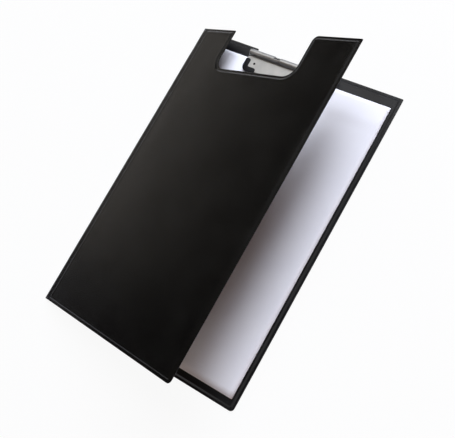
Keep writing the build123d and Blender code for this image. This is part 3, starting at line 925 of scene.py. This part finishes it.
# Corners of the clip. Black plastic, injection-moulded: an L that wraps the plate's front corner, with a pad
# under the plate that grips the paper and a peg pressed up through the plate.
cap_arm = 5.6
cap_side_length = 14.0
cap_front_length = 15.5
cap_corner = 6.0
cap_inner_round = 1.6
cap_end_inside = 2.2
cap_end_outside = 1.2
cap_edge = 0.7
pad_reach = 14.0
pad_edge = 0.2
pad_gap = 0.02
pad_radii = [1.5, 0.5, 1.0, 1.0, 1.0]
peg_side = 11.2
peg_front = 10.2
peg_sunk = 0.6
peg_radii = (0, 1.2, 1.2, 1.05, 0.7, 0)
peg_heights = (0, 0, 0.65, 0.82, 0.9, 0.9)


def corner_cap(side, finish):
    """The L, the pad and the peg of one end of the clip, as three closed shells: two flat plates of rounded
    outline and edge, and a turned peg with a domed top."""
    front = cap_low.y
    edge = half_clip

    def mirrored(corners, radii):
        """The outline for this end: the left one is the right one mirrored, and still anticlockwise."""
        if side > 0:
            return corners, radii
        return [(-x, y) for x, y in corners[::-1]], radii[::-1]

    ell = mirrored([
        (edge - cap_front_length, front), (edge, front), (edge, front + cap_side_length),
        (edge - cap_arm, front + cap_side_length), (edge - cap_arm, front + cap_arm),
        (edge - cap_front_length, front + cap_arm),
    ], [cap_end_outside, cap_corner, cap_end_outside, cap_end_inside, cap_inner_round, cap_end_inside])
    pad = mirrored([
        (edge - pad_reach, front + cap_arm / 2), (edge - cap_arm / 2, front + cap_arm / 2),
        (edge - cap_arm / 2, front + pad_reach - cap_wall), (edge - peg_side, front + pad_reach - cap_wall),
        (edge - pad_reach, front + peg_front),
    ], pad_radii)
    plate_top = pin_z - lever_drop + lever_sheet / 2
    peg_foot = (side * (edge - peg_side), front + peg_front, plate_top - peg_sunk)
    peg = turned(peg_radii, peg_heights, peg_foot, (0, 0, 1), 24)
    shells = join_shells(
        plate_points(*ell, cap_low.z, cap_high.z, cap_edge, 3.0),
        plate_points(*pad, cap_low.z, plate_top - lever_sheet - pad_gap, pad_edge, 6.0),
        peg,
    )
    return make_piece(f"corner_cap_{'right' if side > 0 else 'left'}_moulding", *shells, finish)


# Moulded ABS: deep black with a soft shine, a little uneven where the mould's own surface marked it.
mould_mark = 1.5
mould_relief = 0.015
moulded, tree, shader, place = new_finish("moulded_black_abs", IOR=1.5, Specular_IOR_Level=0.22)
marks = add_node(tree, "ShaderNodeTexNoise", {
    "Vector": place, "Scale": 1 / (mould_mark * MM), "Detail": 3.0,
})
tone = add_node(
    tree, "ShaderNodeMix", {0: marks, 6: linear("#050507"), 7: linear("#0a0a0c")}, data_type="RGBA"
)
dullness = add_node(tree, "ShaderNodeMapRange", (marks, 0.3, 0.7, 0.4, 0.5))
relief = add_node(tree, "ShaderNodeBump", {"Height": marks, "Distance": mould_relief * MM})
fill(tree, shader, {"Base Color": tone, "Roughness": dullness, "Normal": relief})
for side, word in clip_ends:
    cap = corner_cap(side, moulded)
    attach(cap, "lever")
    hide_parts(f"corner_cap_{word}")

# Rivets. Two tubular steel rivets, nickel-plated, go up through the board and the clip's base. The flat head
# lies in the vinyl under the board, and the hollow end is rolled outwards over the base.
rivet_offset = 30.0
rivet_low, rivet_high = (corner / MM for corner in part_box("clip_rivets"))
rivet_y = (rivet_low.y + rivet_high.y) / 2
rivet_head = (rivet_high.y - rivet_low.y) / 2
rivet_radius = 2.0
flare_radius = 2.5
bore_radius = 1.3
bore_taper = 0.1
bore_floor = 0.8
lip_height = 0.3
head_edge = 0.1
head_dish = 0.8
shank_gap = 0.02


def rivet(side):
    """A surface of revolution: from the bore's floor up its wall, over the half ellipse of the rolled lip,
    down the shank and round the flat head."""
    top = rivet_high.z
    bottom = rivet_low.z
    lip = np.linspace(0, math.pi, 7)
    lip_middle = (bore_radius + flare_radius) / 2
    lip_half = (flare_radius - bore_radius) / 2
    radii = np.concatenate([
        [0, bore_radius - bore_taper], lip_middle - lip_half * np.cos(lip),
        [rivet_radius, rivet_radius, rivet_head - head_edge, rivet_head, rivet_head - head_dish, 0],
    ])
    places = np.concatenate([
        [bottom + bore_floor, bottom + bore_floor], top - lip_height + lip_height * np.sin(lip),
        [base_top + shank_gap, skin, skin - shank_gap, skin - head_edge, bottom, bottom],
    ])
    return turned(radii[::-1], places[::-1], (side * rivet_offset, rivet_y, 0), (0, 0, 1), 32)


rivets = make_piece("clip_rivets_turned", *join_shells(rivet(-1), rivet(1)), nickel)
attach(rivets, "board")
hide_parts("clip_rivets")

# Floor. A matt pale sweep of paper, wide enough to reach past every view. To the camera it is nearly plain
# white, and it keeps the clipboard's soft shadow.
floor_size = 6000.0
floor_glow = 0.93
floor_corners = np.array([(-1, -1, 0), (1, -1, 0), (1, 1, 0), (-1, 1, 0)]) * floor_size / 2
white_sweep, tree, shader, place = new_finish("white_paper_sweep", Roughness=0.9)
fill(tree, shader, {"Base Color": linear("#d9d9d9")})
white = linear("#ffffff")
glow = add_node(tree, "ShaderNodeEmission", (white, 1.0))
to_camera = add_node(tree, "ShaderNodeLightPath").outputs["Is Camera Ray"]
share = add_node(tree, "ShaderNodeMath", (to_camera, floor_glow), operation="MULTIPLY")
mixed = add_node(tree, "ShaderNodeMixShader", (share, shader, glow))
fill(tree, tree.nodes["Material Output"], {"Surface": mixed})
floor = make_piece("floor", floor_corners, [[0, 1, 2, 3]], white_sweep)

# Light. A pale, warm surround that is brighter overhead than near the floor, with a white curtain halfway up
# on the clip's side that only gloss mirrors, and soft panels. To the camera the surround is plain white.
world = bpy.data.worlds.new("studio")
world.use_nodes = True
bpy.context.scene.world = world
tree = world.node_tree
direction = add_node(tree, "ShaderNodeTexCoord").outputs["Generated"]
axes = add_node(tree, "ShaderNodeSeparateXYZ", (direction,)).outputs
ray = add_node(tree, "ShaderNodeLightPath").outputs
height = axes["Z"]
# The surround's strength is 0.02 up to 24 degrees over the floor and 0.16 from 72 degrees up. The curtain
# hangs between 19 and 58 degrees, with soft edges, and fades out towards the lower end and the fold.
strength = add_node(tree, "ShaderNodeMapRange", (height, 0.4, 0.95, 0.02, 0.16))
surround = tree.nodes["Background"]
fill(tree, surround, (linear("#ffdcc0"), strength))
towards = add_node(tree, "ShaderNodeMath", (axes["Y"], 1.2, axes["X"]), operation="MULTIPLY_ADD")
curtain = ray["Is Glossy Ray"]
for fade in ((height, 0.32, 0.5, 0, 1), (height, 0.72, 0.85, 0.7, 0), (towards, -0.6, 0.2, 0, 1)):
    faded = add_node(tree, "ShaderNodeMapRange", fade)
    curtain = add_node(tree, "ShaderNodeMath", (curtain, faded), operation="MULTIPLY")
hanging = add_node(tree, "ShaderNodeBackground", (white, curtain))
around = add_node(tree, "ShaderNodeAddShader", (surround, hanging))
plain = add_node(tree, "ShaderNodeBackground", (white, 1.0))
seen = add_node(tree, "ShaderNodeMixShader", (ray["Is Camera Ray"], around, plain))
fill(tree, tree.nodes["World Output"], {"Surface": seen})


def soft_panel(name, azimuth, elevation, distance, width, height, power, colour):
    """A rectangular lamp, in watts, this far from the clipboard's middle in this direction and turned to
    face it. The azimuth is counted in degrees from +X towards +Y."""
    lamp = bpy.data.lights.new(name, "AREA")
    lamp.shape = "RECTANGLE"
    lamp.size = width * MM
    lamp.size_y = height * MM
    lamp.energy = power
    lamp.color = linear(colour)[:3]
    turn, rise = math.radians(azimuth), math.radians(elevation)
    towards = Vector((
        math.cos(turn) * math.cos(rise), math.sin(turn) * math.cos(rise), math.sin(rise)
    ))
    holder = bpy.data.objects.new(name, lamp)
    holder.location = towards * distance * MM
    holder.rotation_euler = towards.to_track_quat("Z", "Y").to_euler()
    bpy.context.scene.collection.objects.link(holder)
    return holder


# One large panel high on the clip's side is set twice: the key lights the matt surfaces, and the sheen is
# what the gloss shows of it.
key = soft_panel("key_panel", 83, 53, 2000, 1150, 2000, 65.0, "#eaf0ff")
key.visible_glossy = False
sheen = soft_panel("sheen_panel", 83, 53, 2000, 1150, 2000, 62.0, "#eef4ff")
sheen.visible_diffuse = False
# The clip's steel mirrors a dim panel up behind the fold, and the cover's vinyl a long one near the floor. A
# warm panel at the open side tints only what is matt, and a weak one fills from the lower end.
soft_panel("mirrored_panel", 138, 56, 1500, 700, 700, 1.15, "#fbfcfa")
soft_panel("low_panel", 157, 3.0, 1400, 1400, 110, 0.95, "#fff4e2")
warm = soft_panel("warm_panel", 338, 22, 1500, 800, 800, 1.4, "#ffa868")
warm.visible_glossy = False
soft_panel("front_panel", 238, 25, 1500, 900, 1100, 3.0, "#fcfcff")

# Camera. Its place, aim, roll and lens come from fitting a pinhole view to the eight corners of the two
# photographed panels, with the panels at their real size.
camera_place = Vector((374.6, -109.6, 671.3))
camera_aim = Vector((37.94, -15.36, 40.0))
camera_roll = -46.62
camera = bpy.data.cameras.new("camera")
camera.sensor_fit = "HORIZONTAL"
camera.sensor_width = 36.0
camera.lens = 64.36
view = bpy.data.objects.new("camera", camera)
look = (camera_aim - camera_place).normalized()
level = look.cross(Vector((0, 0, 1))).normalized()
right = Matrix.Rotation(math.radians(-camera_roll), 3, look) @ level
upright = right.cross(look)
turned_view = Matrix((right, upright, -look)).transposed().to_4x4()
view.matrix_world = Matrix.Translation(camera_place * MM) @ turned_view
bpy.context.scene.collection.objects.link(view)
bpy.context.scene.camera = view
bpy.context.scene.view_settings.view_transform = "Standard"
